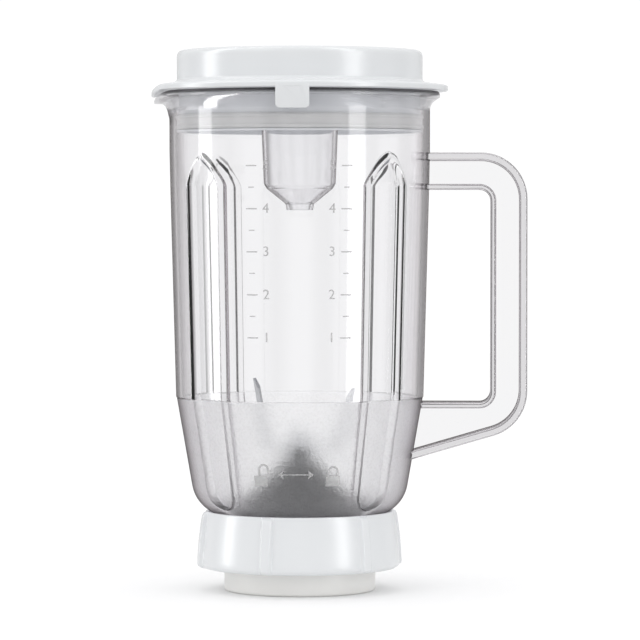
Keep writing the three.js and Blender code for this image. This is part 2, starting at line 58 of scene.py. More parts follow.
def arc(cr, cz, radius, start, end, steps):
    """Points of an arc in the r-z plane, from angle start to angle end in degrees."""
    points = []
    for i in range(steps + 1):
        t = math.radians(start + (end - start) * i / steps)
        points.append((cr + radius * math.cos(t), cz + radius * math.sin(t)))
    return points


def polygon(radius, sides):
    """Corners of a regular polygon round the axis."""
    corners = []
    for k in range(sides):
        t = TAU * k / sides
        corners.append((radius * math.cos(t), radius * math.sin(t)))
    return corners


def refine(points, step):
    """The same polyline with no side longer than step."""
    fine = [points[0]]
    for a, b in zip(points, points[1:]):
        n = max(1, math.ceil(math.dist(a, b) / step))
        fine += [tuple(p + (q - p) * i / n for p, q in zip(a, b)) for i in range(1, n + 1)]
    return fine


def rounded(corners, steps=5):
    """A closed r-z outline with each corner rounded; a corner is (r, z, rounding radius)."""
    out = []
    n = len(corners)
    points = [Vector((x, z)) for x, z, _ in corners]
    for i, c in enumerate(points):
        before = points[i - 1] - c
        after = points[(i + 1) % n] - c
        r = corners[i][2]
        if r <= 0 or before.length < 1e-9 or after.length < 1e-9:
            out.append(tuple(c))
            continue
        turn = before.angle(after)
        reach = min(r / math.tan(turn / 2), 0.45 * before.length, 0.45 * after.length)
        a = c + before.normalized() * reach
        b = c + after.normalized() * reach
        for k in range(steps + 1):
            t = k / steps
            out.append(tuple(a * (1 - t) ** 2 + c * 2 * t * (1 - t) + b * t**2))
    return out


def new_object(name, vertices, faces, smooth_angle=40):
    mesh = bpy.data.meshes.new(name)
    mesh.from_pydata([tuple(v) for v in vertices], [], faces)
    mesh.validate()
    obj = bpy.data.objects.new(name, mesh)
    bpy.context.scene.collection.objects.link(obj)
    tidy_mesh(obj, smooth_angle)
    return obj


def tidy_mesh(obj, smooth_angle):
    """Merges doubled points, turns all faces outwards and shades smooth below an angle."""
    mesh = obj.data
    bm = bmesh.new()
    bm.from_mesh(mesh)
    bmesh.ops.remove_doubles(bm, verts=bm.verts, dist=1e-6)
    bmesh.ops.recalc_face_normals(bm, faces=bm.faces)
    limit = math.radians(smooth_angle)
    for edge in bm.edges:
        edge.smooth = len(edge.link_faces) == 2 and edge.calc_face_angle(0) < limit
    for face in bm.faces:
        face.smooth = True
    bm.to_mesh(mesh)
    bm.free()


def turned(name, outline, segments=128, shift=None, smooth_angle=40):
    """A closed r-z outline in millimetres turned about Z; shift(r, angle, z) may move the radius."""
    vertices = []
    for k in range(segments):
        angle = TAU * k / segments
        for r, z in outline:
            moved = r if shift is None else shift(r, angle, z)
            vertices.append((moved * math.cos(angle) * MM, moved * math.sin(angle) * MM, z * MM))
    n = len(outline)
    faces = []
    for k in range(segments):
        after = (k + 1) % segments
        for i in range(n):
            j = (i + 1) % n
            faces.append((k * n + i, after * n + i, after * n + j, k * n + j))
    return new_object(name, vertices, faces, smooth_angle)


def joined(name, objects, smooth_angle=40):
    """One closed object from several overlapping closed ones, by boolean union."""
    base = objects[0]
    for other in objects[1:]:
        combine(base, other, "UNION")
    base.name = name
    base.data.name = name
    tidy_mesh(base, smooth_angle)
    return base


def combine(base, other, operation):
    modifier = base.modifiers.new("combine", "BOOLEAN")
    modifier.object = other
    modifier.operation = operation
    modifier.solver = "EXACT"
    depsgraph = bpy.context.evaluated_depsgraph_get()
    made = bpy.data.meshes.new_from_object(base.evaluated_get(depsgraph))
    base.modifiers.clear()
    old = base.data
    base.data = made
    bpy.data.meshes.remove(old)
    bpy.data.objects.remove(other)


def prism(name, outline, low, high, bevel=0.3, smooth_angle=40, segments=2):
    """A flat outline in x-y, in millimetres, between z = low and z = high, with bevelled rims."""
    mesh = bpy.data.meshes.new(name)
    bm = bmesh.new()
    bottom = [bm.verts.new((x * MM, y * MM, low * MM)) for x, y in outline]
    face = bm.faces.new(bottom)
    lifted = bmesh.ops.extrude_face_region(bm, geom=[face])
    top = [g for g in lifted["geom"] if isinstance(g, bmesh.types.BMVert)]
    bmesh.ops.translate(bm, verts=top, vec=(0, 0, (high - low) * MM))
    bmesh.ops.recalc_face_normals(bm, faces=bm.faces)
    if bevel > 0:
        caps = [f for f in bm.faces if abs(f.normal.z) > 0.9]
        rims = {e for f in caps for e in f.edges}
        bmesh.ops.bevel(
            bm, geom=list(rims), offset=bevel * MM, segments=segments, profile=0.5, affect="EDGES"
        )
    bm.to_mesh(mesh)
    bm.free()
    obj = bpy.data.objects.new(name, mesh)
    bpy.context.scene.collection.objects.link(obj)
    tidy_mesh(obj, smooth_angle)
    return obj


def reshape(obj, move):
    """Moves each vertex of a mesh: move takes and returns a point in millimetres."""
    for vertex in obj.data.vertices:
        vertex.co = Vector(move(Vector(vertex.co) / MM)) * MM
    return obj


def turned_about_z(obj, degrees):
    c = math.cos(math.radians(degrees))
    s = math.sin(math.radians(degrees))
    return reshape(obj, lambda p: (p.x * c - p.y * s, p.x * s + p.y * c, p.z))


def stands_for(obj, body, slot, *nodes):
    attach(obj, body)
    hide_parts(*nodes)
    return obj


# ------------------------------------------------------------------ jug
WALL = 2.6
SHOULDER = {"r": 51.7, "z": 50.5, "radius": 17.9}
FROST_TOP = {"r": 59.0, "z": 92.6, "step": 0.35}
MOUTH = {"r": 62.4, "z": 207.0}
NECK = {"outer": 41.0, "inner": 38.0, "bottom": 18.4}
RIM_TIP = 67.2
RIM_EDGE = [(RIM_TIP, 236.2), (RIM_TIP + 0.1, 237.2), (RIM_TIP - 0.4, 238.4)]
RIM_FACE = [(64.9, 239.0), (RIM_TIP - 1.0, 239.0)]
FLUTE = {
    "half": 10.2, "depth": 4.2, "bottom": 40.5, "round": 8.0, "shoulder": 194.0, "tip": 207.0,
    "blend": 1.5, "soft_top": 2.5, "shallow": 0.65,
}
FLUTE_CENTRES = (44, 136, 224, 316)
QUARTERS = (45, 135, 225, 315)
FLUTE_RADIUS = 60.0
SPOUT = {"reach": 2.6, "half": 26.0, "low": 225.0, "droop": 3.0}
THREAD = {"half": 19.0, "proud": 2.4, "lead": 16.0, "blend": 0.6, "fade": 2.0}
NECK_LUG = (19.6, 23.2)
COLLAR_LUG = (23.5, 27.0)
KEY_SLOT = {"half": 4.5, "fade": 1.5, "depth": 1.5, "top": 31.0}


def lug_height(angle, z, span_z):
    """How proud one of the four thread lugs stands at an angle and a height; each climbs its lead."""
    off = angle % 90 - 45
    climb = THREAD["lead"] * off / 360
    along = smoothstep(THREAD["half"] + THREAD["fade"] - abs(off), 0, THREAD["fade"])
    above = smoothstep(z - climb - span_z[0], 0, THREAD["blend"])
    below = smoothstep(span_z[1] + climb - z, 0, THREAD["blend"])
    return THREAD["proud"] * along * above * below


def slot_depth(angle, z):
    """Depth of the two slots inside the neck that take the blade carrier's keys."""
    off = abs((angle + 90) % 180 - 90)
    across = smoothstep(KEY_SLOT["half"] + KEY_SLOT["fade"] - off, 0, KEY_SLOT["fade"])
    return KEY_SLOT["depth"] * across * smoothstep(KEY_SLOT["top"] - z, 0, 1.0)


def shoulder_arc(offset, steps):
    slope = math.atan2(FROST_TOP["z"] - SHOULDER["z"], FROST_TOP["r"] - SHOULDER["r"])
    cr = SHOULDER["r"] + SHOULDER["radius"] * math.cos(slope + math.pi / 2)
    cz = SHOULDER["z"] + SHOULDER["radius"] * math.sin(slope + math.pi / 2)
    radius = SHOULDER["radius"] - offset
    neck = NECK["inner"] if offset else NECK["outer"]
    start = -math.degrees(math.acos((neck - cr) / radius))
    return arc(cr, cz, radius, start, math.degrees(slope) - 90, steps)


def wall_between(low, high, offset):
    """The upper wall's side from one height to another, with close points across the arch tops."""
    def at(z):
        share = (z - FROST_TOP["z"]) / (MOUTH["z"] - FROST_TOP["z"])
        bottom = FROST_TOP["r"] + FROST_TOP["step"]
        return bottom + (MOUTH["r"] - bottom) * min(share, 1.0) - offset, z

    heights = [low, FLUTE["shoulder"] - 4, FLUTE["tip"] + 4, high]
    plain = refine([at(heights[0]), at(heights[1])], 6.0)
    close = refine([at(heights[1]), at(heights[2])], 0.45)
    return plain + close[1:] + refine([at(heights[2]), at(heights[3])], 4.0)[1:]


def jug_outside():
    neck = refine([(NECK["outer"], NECK["bottom"]), shoulder_arc(0, 14)[0]], 0.6)
    lower = refine(shoulder_arc(0, 14) + [(FROST_TOP["r"], FROST_TOP["z"])], 0.8)
    upper = wall_between(FROST_TOP["z"] + 0.4, 229.6, 0)
    lip = arc(MOUTH["r"] + 6.0, 229.8, 6.0, 178, 124, 8)
    return neck[:-1] + lower + upper + lip + RIM_EDGE


def jug_inside():
    neck = refine([(NECK["inner"], NECK["bottom"]), shoulder_arc(WALL, 12)[0]], 0.6)
    lower = refine(shoulder_arc(WALL, 12) + [(FROST_TOP["r"] - WALL, FROST_TOP["z"])], 0.8)
    upper = wall_between(FROST_TOP["z"] + 0.4, 231.2, WALL)
    lip = arc(MOUTH["r"] + 5.2, 231.4, 8.0, 178, 118, 8)
    return neck[:-1] + lower + upper + lip + RIM_FACE


def flute_depth(angle, z, grow):
    """Depth of the inward flutes; grow widens them by that many millimetres, for the inner wall."""
    top = FLUTE["tip"] + grow
    low = FLUTE["bottom"] - grow
    if z >= top or z <= low:
        return 0.0
    half = FLUTE["half"] + math.degrees(grow / FLUTE_RADIUS)
    blend = FLUTE["blend"]
    depth = FLUTE["depth"]
    if z > FLUTE["shoulder"]:
        share = math.sqrt((top - z) / (top - FLUTE["shoulder"]))
        lean = half / (top - FLUTE["shoulder"]) / (2 * max(share, 0.15))
        blend += FLUTE["soft_top"] * smoothstep(z, FLUTE["shoulder"], top)
        depth *= 1 - FLUTE["shallow"] * smoothstep(z, FLUTE["shoulder"], top)
    elif z < low + FLUTE["round"]:
        drop = (low + FLUTE["round"] - z) / FLUTE["round"]
        share = math.sqrt(max(1 - drop * drop, 0))
        lean = half * drop / max(share, 0.15) / FLUTE["round"]
    else:
        share, lean = 1.0, 0.0
    nearest = min(abs((angle - c + 180) % 360 - 180) for c in FLUTE_CENTRES)
    to_mm = math.radians(1) * FLUTE_RADIUS
    inside = (half * share - nearest) * to_mm / math.hypot(1, lean * to_mm)
    return depth * smoothstep(inside, 0, blend)


def spout_push(angle, z):
    """How far the pouring spout pushes the wall out, and how far its lip droops."""
    away = abs(angle - 180)
    if away >= SPOUT["half"]:
        return 0.0, 0.0
    across = math.cos(math.radians(away / SPOUT["half"] * 90)) ** 1.5
    rise = smoothstep(z, SPOUT["low"], 236.0)
    return SPOUT["reach"] * across * rise, SPOUT["droop"] * across * rise


def jug_angles():
    """Angles round the jug in degrees: close together across the flutes, wider between them."""
    wide, close = 1.5, 0.4
    angles = []
    for centre in QUARTERS:
        angles += [centre - 45 + wide * i for i in range(20)]
        angles += [centre - 15 + close * i for i in range(75)]
        angles += [centre + 15 + wide * i for i in range(20)]
    return sorted(a % 360 for a in angles)


def jug_wall():
    outside = jug_outside()
    inside = jug_inside()[::-1]
    angles = jug_angles()
    vertices = []
    for angle in angles:
        c = math.cos(math.radians(angle))
        s = math.sin(math.radians(angle))
        for side, (outline, grow) in enumerate(((outside, 0.0), (inside, WALL))):
            for r, z in outline:
                push, droop = spout_push(angle, z)
                tip_share = smoothstep(r, MOUTH["r"], RIM_TIP)
                radius = r - flute_depth(angle, z, grow)
                radius += push * (1 if side == 0 else 0.55 + 0.45 * tip_share)
                if z < FLUTE["bottom"] - WALL:
                    radius += lug_height(angle, z, NECK_LUG) if side == 0 else slot_depth(angle, z)
                vertices.append((radius * c * MM, radius * s * MM, (z - droop * tip_share) * MM))
    n = len(outside) + len(inside)
    count = len(angles)
    faces = []
    for k in range(count):
        after = (k + 1) % count
        for i in range(n):
            j = (i + 1) % n
            faces.append((k * n + i, after * n + i, after * n + j, k * n + j))
    return new_object("jug_wall", vertices, faces, 35)


# ------------------------------------------------------------------ handle
HANDLE = {
    "half": 10.0, "outer": 3.9, "inner": 2.8, "web": 1.4,
    "reach": 109.0, "top": 209.8, "corner": 22.3,
    "slope": 16.3, "foot_x": 53.7, "foot_z": 63.3,
    "open_top": 192.0, "open_reach": 91.3, "open_bottom": 90.6, "open_corner": 5.2,
}


def outer_path(inset, start_x):
    """The handle's outer edge in x-z, set in by inset, from the top arm's root to the lower arm's."""
    h = HANDLE
    tilt = math.radians(h["slope"])
    cx = h["reach"] - h["corner"]
    foot_at_corner = h["foot_z"] + (cx - h["foot_x"]) * math.tan(tilt)
    cz = foot_at_corner + h["corner"] / math.cos(tilt)
    radius = h["corner"] - inset
    lower = arc(cx, cz, radius, -90 + h["slope"], 0, 14)
    upper = arc(cx, h["top"] - h["corner"], radius, 0, 90, 16)
    end_x = h["foot_x"] - 1.0
    end_z = lower[0][1] - (lower[0][0] - end_x) * math.tan(tilt)
    return [(end_x, end_z)] + lower + upper + [(start_x, h["top"] - inset)]


def opening_path(offset, start_x):
    h = HANDLE
    cx = h["open_reach"] - h["open_corner"]
    radius = h["open_corner"] + offset
    lower = arc(cx, h["open_bottom"] + h["open_corner"], radius, -90, 0, 8)
    upper = arc(cx, h["open_top"] - h["open_corner"], radius, 0, 90, 8)
    start = (start_x - 3.0, h["open_bottom"] - offset)
    end = (start_x, h["open_top"] + offset)
    return [start] + lower + upper + [end]


def slab(name, outline, half, bevel):
    """A flat outline in x-z, thickened by half to each side of y = 0."""
    obj = prism(name, outline, -half, half, bevel, segments=4)
    return reshape(obj, lambda p: (p.x, -p.z, p.y))


def jug_handle():
    h = HANDLE
    root = 61.2
    outer = slab("outer", outer_path(0, root) + outer_path(h["outer"], root)[::-1], h["half"], 1.3)
    inner = slab("inner", opening_path(0, root) + opening_path(h["inner"], root)[::-1], h["half"], 1.1)
    web = slab("web", outer_path(2, root) + opening_path(1.4, root)[::-1], h["web"], 0)
    return joined("handle_beam", [web, outer, inner], 30)


# ------------------------------------------------------------------ lid, seal, funnel
LID = {
    "cap": 58.9, "top": 258.7, "corner": 3.5, "skin": 2.3, "flange": 71.0,
    "plug": 57.8, "plug_low": 219.4, "under": 239.8, "hole": 20.2, "seat": 24.6, "seat_z": 250.2,
    "tab_half": 7.85, "tab_low": 229.4, "tab_inner": 68.3, "tab_outer": 70.8, "tab_corner": 2.2,
}
FUNNEL = {
    "rim": 24.2, "top": 252.4, "rim_low": 250.5, "shoulder": 194.8,
    "spout": 6.3, "bottom": 182.4, "skin": 1.6,
}


def lid_outline():
    """The lid's section: plug ring, flange, raised cap with a shallow dish, and the funnel's seat."""
    plug_inner = LID["plug"] - LID["skin"]
    plug_lip = LID["plug"] + 1.3
    low, under, top = LID["plug_low"], LID["under"], LID["top"]
    flange, cap = LID["flange"], LID["cap"]
    seat, seat_z, hole = LID["seat"], LID["seat_z"], LID["hole"]
    return rounded([
        (plug_inner, low, 0.6), (plug_lip, low, 0.5), (plug_lip, low + 0.9, 0.3),
        (LID["plug"], low + 1.2, 0.2), (LID["plug"], under + 0.4, 0.6),
        (68.6, under, 1.0), (69.8, under - 0.5, 0.4), (flange, under - 0.5, 0.5),
        (flange, 241.9, 1.2), (60.4, 243.4, 1.0), (cap, 244.4, 1.2),
        (cap, top, LID["corner"]), (51.5, top, 2.5), (26.4, 253.6, 1.2),
        (seat, 252.9, 0.4), (seat, seat_z, 0.3), (hole, seat_z, 0.4),
        (hole, seat_z - 2.7, 0.5), (26.6, 248.3, 1.0), (50.4, top - LID["skin"], 1.5),
        (plug_inner, 255.9, 1.2),
    ])


def thumb_tab():
    half, low, corner = LID["tab_half"], LID["tab_low"], LID["tab_corner"]
    top = LID["under"] + 1.2
    outline = [(-half, top)]
    outline += arc(-half + corner, low + corner, corner, 180, 270, 6)
    outline += arc(half - corner, low + corner, corner, 270, 360, 6)
    outline += [(half, top)]
    tab = prism("tab", outline, LID["tab_inner"], LID["tab_outer"], 0.5)
    return reshape(tab, lambda p: (p.x, -p.z, p.y))


def lid_cover():
    shell = turned("shell", refine(lid_outline() + lid_outline()[:1], 3.0)[:-1], 160)

    def drooped(p):
        """The flange follows the droop of the jug's spout."""
        away = abs(math.degrees(math.atan2(p.y, -p.x)))
        if away >= SPOUT["half"]:
            return p
        across = math.cos(math.radians(away / SPOUT["half"] * 90)) ** 1.5
        share = smoothstep(math.hypot(p.x, p.y), 62.5, LID["flange"])
        return (p.x, p.y, p.z - SPOUT["droop"] * across * share)

    reshape(shell, drooped)
    return joined("lid_cover", [shell, thumb_tab()])


def plug_seal():
    body, lip, inner = 58.8, 59.5, 58.1
    low, high = 220.6, 228.0
    points = [
        (inner, low), (body, low), (lip, low + 0.9), (lip, low + 1.5), (body, low + 2.2),
        (body, high - 2.5), (lip, high - 1.8), (lip, high - 1.2), (body, high - 0.4), (inner, high),
    ]
    return turned("plug_seal", rounded([(r, z, 0.25) for r, z in points], 3), 160)


def filler_funnel():
    """A clear cup with a rim that rests in the lid's seat, and a small open spout at its foot."""
    f = FUNNEL
    outline = rounded([
        (17.9, f["top"], 0.8), (15.6, f["shoulder"], 2.5), (14.4, 193.3, 1.2),
        (5.7, 186.4, 0.8), (f["spout"] - f["skin"], f["bottom"], 0.4),
        (f["spout"], f["bottom"], 0.4), (6.8, 185.3, 0.8), (15.8, 192.6, 1.5),
        (17.2, f["shoulder"] + 0.2, 2.0), (19.5, f["rim_low"], 0.6),
        (f["rim"], f["rim_low"], 0.4), (f["rim"], f["top"], 0.7),
    ])
    return turned("filler_funnel", outline, 120)


# ------------------------------------------------------------------ collar and skirt
COLLAR = {
    "top": 38.2, "bottom": 11.0, "top_r": 45.3, "bottom_r": 48.0, "bore": 43.8, "ledge": 37.0,
    "ribs": 6, "first": -106.7, "half": 2.5, "proud": 1.8, "floor": 13.5,
}
SKIRT = {"outer": 36.3, "inner": 32.7, "height": 13.5, "web": 10.5, "hole": 15.0}


def collar_radius(z):
    c = COLLAR
    down = (c["top"] - z) / (c["top"] - c["bottom"])
    return c["top_r"] + (c["bottom_r"] - c["top_r"]) * down + 0.5 * math.sin(math.pi * down)


def locking_collar():
    """A slightly conical ring with grip ribs outside and thread lugs in its bore."""
    c = COLLAR
    heights = [c["bottom"] + (c["top"] - c["bottom"]) * i / 12 for i in range(13)]
    outer = [(collar_radius(z), z) for z in heights]
    outline = (
        [(c["ledge"], c["bottom"]), (outer[0][0] - 2.6, c["bottom"])]
        + arc(outer[0][0] - 2.6, c["bottom"] + 2.6, 2.6, -80, -8, 6)
        + outer[2:-1]
        + arc(outer[-1][0] - 0.7, c["top"] - 0.7, 0.7, 5, 85, 4)
        + [(c["bore"] + 0.4, c["top"])]
        + refine([(c["bore"], c["top"] - 0.4), (c["bore"], c["floor"])], 0.5)
        + [(c["ledge"], c["floor"])]
    )

    def ribbed(r, angle, z):
        if r < c["bore"] + 0.1:
            inward = lug_height(math.degrees(angle), z, COLLAR_LUG) if r > c["ledge"] else 0
            return r - inward
        if r < c["bore"] + 0.7:
            return r
        pitch = 360 / c["ribs"]
        away = abs((math.degrees(angle) - c["first"] + pitch / 2) % pitch - pitch / 2)
        across = math.radians(away) * r
        ends = smoothstep(z, c["bottom"] - 0.2, c["bottom"] + 1.2)
        ends *= smoothstep(c["top"] + 0.1 - z, 0, 1.2)
        return r + c["proud"] * (0.25 + 0.75 * ends) * smoothstep(c["half"] + 0.55 - across, 0, 1.1)

    return turned("grip_collar", outline, 720, ribbed, 50)


def drive_skirt():
    """A short tube with a web across its top, open below for the motor's coupling."""
    s = SKIRT
    outline = rounded([
        (s["inner"], 0, 0.4), (s["outer"], 0, 2.0), (s["outer"], s["height"], 0.3),
        (s["hole"], s["height"], 0.3), (s["hole"], s["web"], 0.5), (s["inner"], s["web"], 0.8),
    ], 6)
    return turned("drive_skirt", outline, 128)


# ------------------------------------------------------------------ blade carrier and rotor
SCREW_CIRCLE = 27.0
SCREW_ANGLES = (90, 210, 330)
SCREW = {"head": 3.0, "core": 1.5, "low": 8.0, "seat": 10.2, "tip": 24.0}
CARRIER = {"bottom": 13.8, "flange": 42.5, "foot": 37.6, "top": 62.0, "bore": 6.6, "tube": 9.2}
NUT = {"across": 11.2, "low": 68.3, "high": 72.6, "dome": 4.9, "dome_z": 71.8, "bore": 4.3}
DOG = {"outer": 11.6, "low": 5.0, "high": 15.0, "bore": 2.3, "shaft": 4.3, "teeth": 6, "tooth_low": 1.4}


def disc(name, radius, low, high, bevel=0.3, segments=48, inner=0.0):
    points = [(inner, low), (radius - bevel, low), (radius, low + bevel), (radius, high - bevel)]
    points += [(radius - bevel, high), (inner, high)]
    return turned(name, points, segments)


def at_screws(make):
    pieces = []
    for angle in SCREW_ANGLES:
        piece = make()
        t = math.radians(angle)
        x, y = SCREW_CIRCLE * math.cos(t), SCREW_CIRCLE * math.sin(t)
        pieces.append(reshape(piece, lambda p, x=x, y=y: (p.x + x, p.y + y, p.z)))
    return pieces


def blade_carrier():
    """A hollow mountain with a flange at its foot, a bearing tube, three screw bosses and two keys."""
    c = CARRIER
    outline = rounded([
        (35.0, c["bottom"], 0.3), (c["flange"], c["bottom"], 0.4),
        (c["flange"], c["bottom"] + 2, 0.4), (c["foot"], c["bottom"] + 2, 0.3), (c["foot"], 37.4, 1.2),
        (30, 41.5, 6), (22, 47.5, 6), (15, 54.5, 6), (9.4, 61.0, 2),
        (8.6, c["top"], 0.8), (c["bore"], c["top"], 0.3),
        (c["bore"], 17.0, 0.3), (c["tube"], 17.0, 0.5), (c["tube"], 54.0, 1), (14, 50.5, 4),
        (21, 43.5, 4), (29, 38.0, 4), (35.0, 34.8, 1),
    ], 6)
    shell = turned("shell", outline, 144)
    bosses = at_screws(lambda: disc("boss", 4.2, c["bottom"], 39.5, 0.2, 32, SCREW["core"] + 0.3))
    keys = []
    for angle in (0, 180):
        outline = [(36.4, -2), (39.2, -2), (39.2, 2), (36.4, 2)]
        keys.append(turned_about_z(prism("key", outline, 18.6, 30, 0.3), angle))
    return joined("hub_mount", [shell] + bosses + keys)


def carrier_screws():
    """Pan-head screws with a cross recess, driven up through the skirt."""
    head, low, seat = SCREW["head"], SCREW["low"], SCREW["seat"]
    core, tip = SCREW["core"], SCREW["tip"]

    def one():
        points = [(0, low), (head - 0.5, low), (head, low + 0.7), (head, seat)]
        points += [(core, seat), (core, tip - 1.4), (0, tip)]
        screw = turned("screw", points, 32)
        for across, along in ((2.6, 0.6), (0.6, 2.6)):
            outline = [(-across / 2, -along / 2), (across / 2, -along / 2)]
            outline += [(across / 2, along / 2), (-across / 2, along / 2)]
            combine(screw, prism("slot", outline, low - 1, low + 1.1, 0), "DIFFERENCE")
        tidy_mesh(screw, 40)
        return screw
    return at_screws(one)


BLADE = {"thick": 1.5, "hub": 6.5, "bore": 4.3, "grind": 1.9}
ARMS = {
    "up": {"length": 47.3, "root": 5.4, "tip": 3.0, "start": 6.0, "radius": 12.0, "rise": 80},
    "up_wide": {"length": 46.6, "root": 5.4, "tip": 3.4, "start": 10.3, "radius": 13.0, "rise": 80},
    "down": {"length": 29.0, "root": 5.6, "tip": 3.0, "start": 11.0, "radius": 8.0, "rise": -22},
    "out": {"length": 31.0, "root": 5.6, "tip": 3.0, "start": 11.0, "radius": 8.0, "rise": 20},
}


def bent(x, y, z, arm):
    """A point of a straight strip carried round its bend; the tip is cut on a slant."""
    turn = math.radians(abs(arm["rise"]))
    side = math.copysign(1, arm["rise"])
    arc_length = arm["radius"] * turn
    taper = smoothstep(x, 6, arm["length"])
    half = arm["root"] + (arm["tip"] - arm["root"]) * taper
    across = y * half
    along = x - arm["start"] - 0.8 * taper * across
    swept = min(max(along, 0), arc_length) / arc_length * turn
    beyond = max(along - arc_length, 0) + min(along, 0)
    radius = arm["radius"] - side * z
    bent_x = arm["start"] + radius * math.sin(swept) + beyond * math.cos(swept)
    bent_z = side * (arm["radius"] - radius * math.cos(swept) + beyond * math.sin(swept))
    return bent_x, across, bent_z


def blade_arm(name, arm):
    """A strip with one side ground to a cutting edge from the bend outwards."""
    stations = 44
    vertices = []
    for i in range(stations + 1):
        x = 2 + (arm["length"] - 2) * i / stations
        ground = BLADE["grind"] / arm["root"] * smoothstep(x, arm["start"], arm["start"] + 6)
        edge = BLADE["thick"] * (1 - 0.85 * smoothstep(x, arm["start"], arm["start"] + 6))
        section = [(-1, 0), (1, 0), (1, edge)]
        section += [(1 - ground - 0.02, BLADE["thick"]), (-1, BLADE["thick"])]
        vertices += [Vector(bent(x, y, z, arm)) * MM for y, z in section]
    n = 5
    faces = [tuple(range(n)), tuple(stations * n + i for i in range(n))[::-1]]
    for i in range(stations):
        for k in range(n):
            j = (k + 1) % n
            faces.append((i * n + k, (i + 1) * n + k, (i + 1) * n + j, i * n + j))
    return new_object(name, vertices, faces, 25)


def blade(name, right, left, seat, turn):
    hub = disc("hub", BLADE["hub"], 0, BLADE["thick"], 0.1, 64)
    first = blade_arm("first", ARMS[right])
    second = turned_about_z(blade_arm("second", ARMS[left]), 180)
    combine(hub, first, "UNION")
    combine(hub, second, "UNION")
    combine(hub, disc("bore", BLADE["bore"], -1, BLADE["thick"] + 1, 0, 40), "DIFFERENCE")
    reshape(hub, lambda p: (p.x, p.y, p.z + seat))
    turned_about_z(hub, turn)
    hub.name = name
    hub.data.name = name
    tidy_mesh(hub, 28)
    return hub


def cap_nut():
    low, high, dome_z = NUT["low"], NUT["high"], NUT["dome_z"]
    body = prism("cap_nut", polygon(NUT["across"] / 2, 6), low, high, 0.4)
    dome = arc(0, dome_z, NUT["dome"], 0, 90, 12)
    cap = turned("cap", [(0, dome_z - 0.8), (NUT["dome"], dome_z - 0.8)] + dome, 48)
    combine(body, cap, "UNION")
    combine(body, disc("bore", NUT["bore"], low - 1.3, dome_z, 0, 40), "DIFFERENCE")
    tidy_mesh(body, 30)
    return body


def drive_dog():
    """The sleeve under the rotor, with radial teeth that the motor's coupling would drive."""
    d = DOG
    outline = rounded([
        (d["bore"], d["low"], 0.2), (d["outer"] - 0.8, d["low"], 0.8), (d["outer"], 6.0, 0.5),
        (d["outer"], 12.0, 0.8), (8.0, d["high"], 0.6), (d["shaft"], d["high"], 0.2),
        (d["shaft"], 6.7, 0.1), (d["bore"], 6.7, 0.1),
    ], 4)
    sleeve = turned("sleeve", outline, 96)
    teeth = []
    for i in range(d["teeth"]):
        outline = [(6.2, -2.1), (11.0, -2.1), (11.0, 2.1), (6.2, 2.1)]
        tooth = prism("tooth", outline, d["tooth_low"], d["low"] + 1, 0.35)
        teeth.append(turned_about_z(tooth, i * 360 / d["teeth"]))
    return joined("drive_dog", [sleeve] + teeth)


# ------------------------------------------------------------------ raised marks on the jug
MARK_DEPTH = 0.25
NUMERAL_SIZE = 6.5
MARK_SHIFT = 2.5
LEVELS = {"count": 5, "first": 123.0, "pitch": 20.0, "ladder": 21.0, "numerals": 14.5}
TURN_MARKS = {"height": 59.0, "middle": 0.8, "locks": 18.5}


def wall_radius(z):
    """The jug's outer radius at a height, clear of the flutes."""
    if z < FROST_TOP["z"]:
        share = (z - SHOULDER["z"]) / (FROST_TOP["z"] - SHOULDER["z"])
        return SHOULDER["r"] + (FROST_TOP["r"] - SHOULDER["r"]) * share
    share = (z - FROST_TOP["z"]) / (MOUTH["z"] - FROST_TOP["z"])
    bottom = FROST_TOP["r"] + FROST_TOP["step"]
    return bottom + (MOUTH["r"] - bottom) * share


def wrapped(obj, angle, height):
    """Lays a flat mark, drawn in x-y, on the jug's front at an angle from -Y and a height."""
    def on_wall(p):
        z = height + p.y
        r = wall_radius(z) + p.z
        t = math.radians(angle) + p.x / wall_radius(height)
        return (r * math.sin(t), -r * math.cos(t), z)

    return reshape(obj, on_wall)


def numeral(text):
    curve = bpy.data.curves.new("numeral", "FONT")
    curve.body = text
    curve.align_x = "CENTER"
    curve.align_y = "CENTER"
    curve.size = NUMERAL_SIZE * MM
    curve.extrude = MARK_DEPTH * MM
    curve.resolution_u = 4
    holder = bpy.data.objects.new("numeral", curve)
    bpy.context.scene.collection.objects.link(holder)
    mesh = bpy.data.meshes.new_from_object(holder.evaluated_get(bpy.context.evaluated_depsgraph_get()))
    bpy.data.objects.remove(holder)
    obj = bpy.data.objects.new("numeral", mesh)
    bpy.context.scene.collection.objects.link(obj)
    tidy_mesh(obj, 30)
    return obj


def bar(x0, x1, y0, y1):
    return prism("bar", [(x0, y0), (x1, y0), (x1, y1), (x0, y1)], -MARK_DEPTH, MARK_DEPTH, 0.1)


def merged(name, pieces):
    """One object that holds several separate closed meshes."""
    bm = bmesh.new()
    for piece in pieces:
        bm.from_mesh(piece.data)
        bpy.data.objects.remove(piece)
    mesh = bpy.data.meshes.new(name)
    bm.to_mesh(mesh)
    bm.free()
    obj = bpy.data.objects.new(name, mesh)
    bpy.context.scene.collection.objects.link(obj)
    return obj


def scale_marks():
    """Two ladders of level marks with numerals, one on each side of the front."""
    pieces = []
    for side in (-1, 1):
        ladder = side * LEVELS["ladder"] + MARK_SHIFT
        numerals = side * LEVELS["numerals"] + MARK_SHIFT
        for step in range(LEVELS["count"]):
            height = LEVELS["first"] + LEVELS["pitch"] * step
            pieces.append(wrapped(bar(-2.6, 2.6, -0.3, 0.3), ladder, height))
            if step < LEVELS["count"] - 1:
                between = height + LEVELS["pitch"] / 2
                pieces.append(wrapped(bar(-1.4, 1.4, -0.25, 0.25), ladder, between))
            pieces.append(wrapped(numeral(str(step + 1)), numerals, height))
    return merged("scale_marks", pieces)


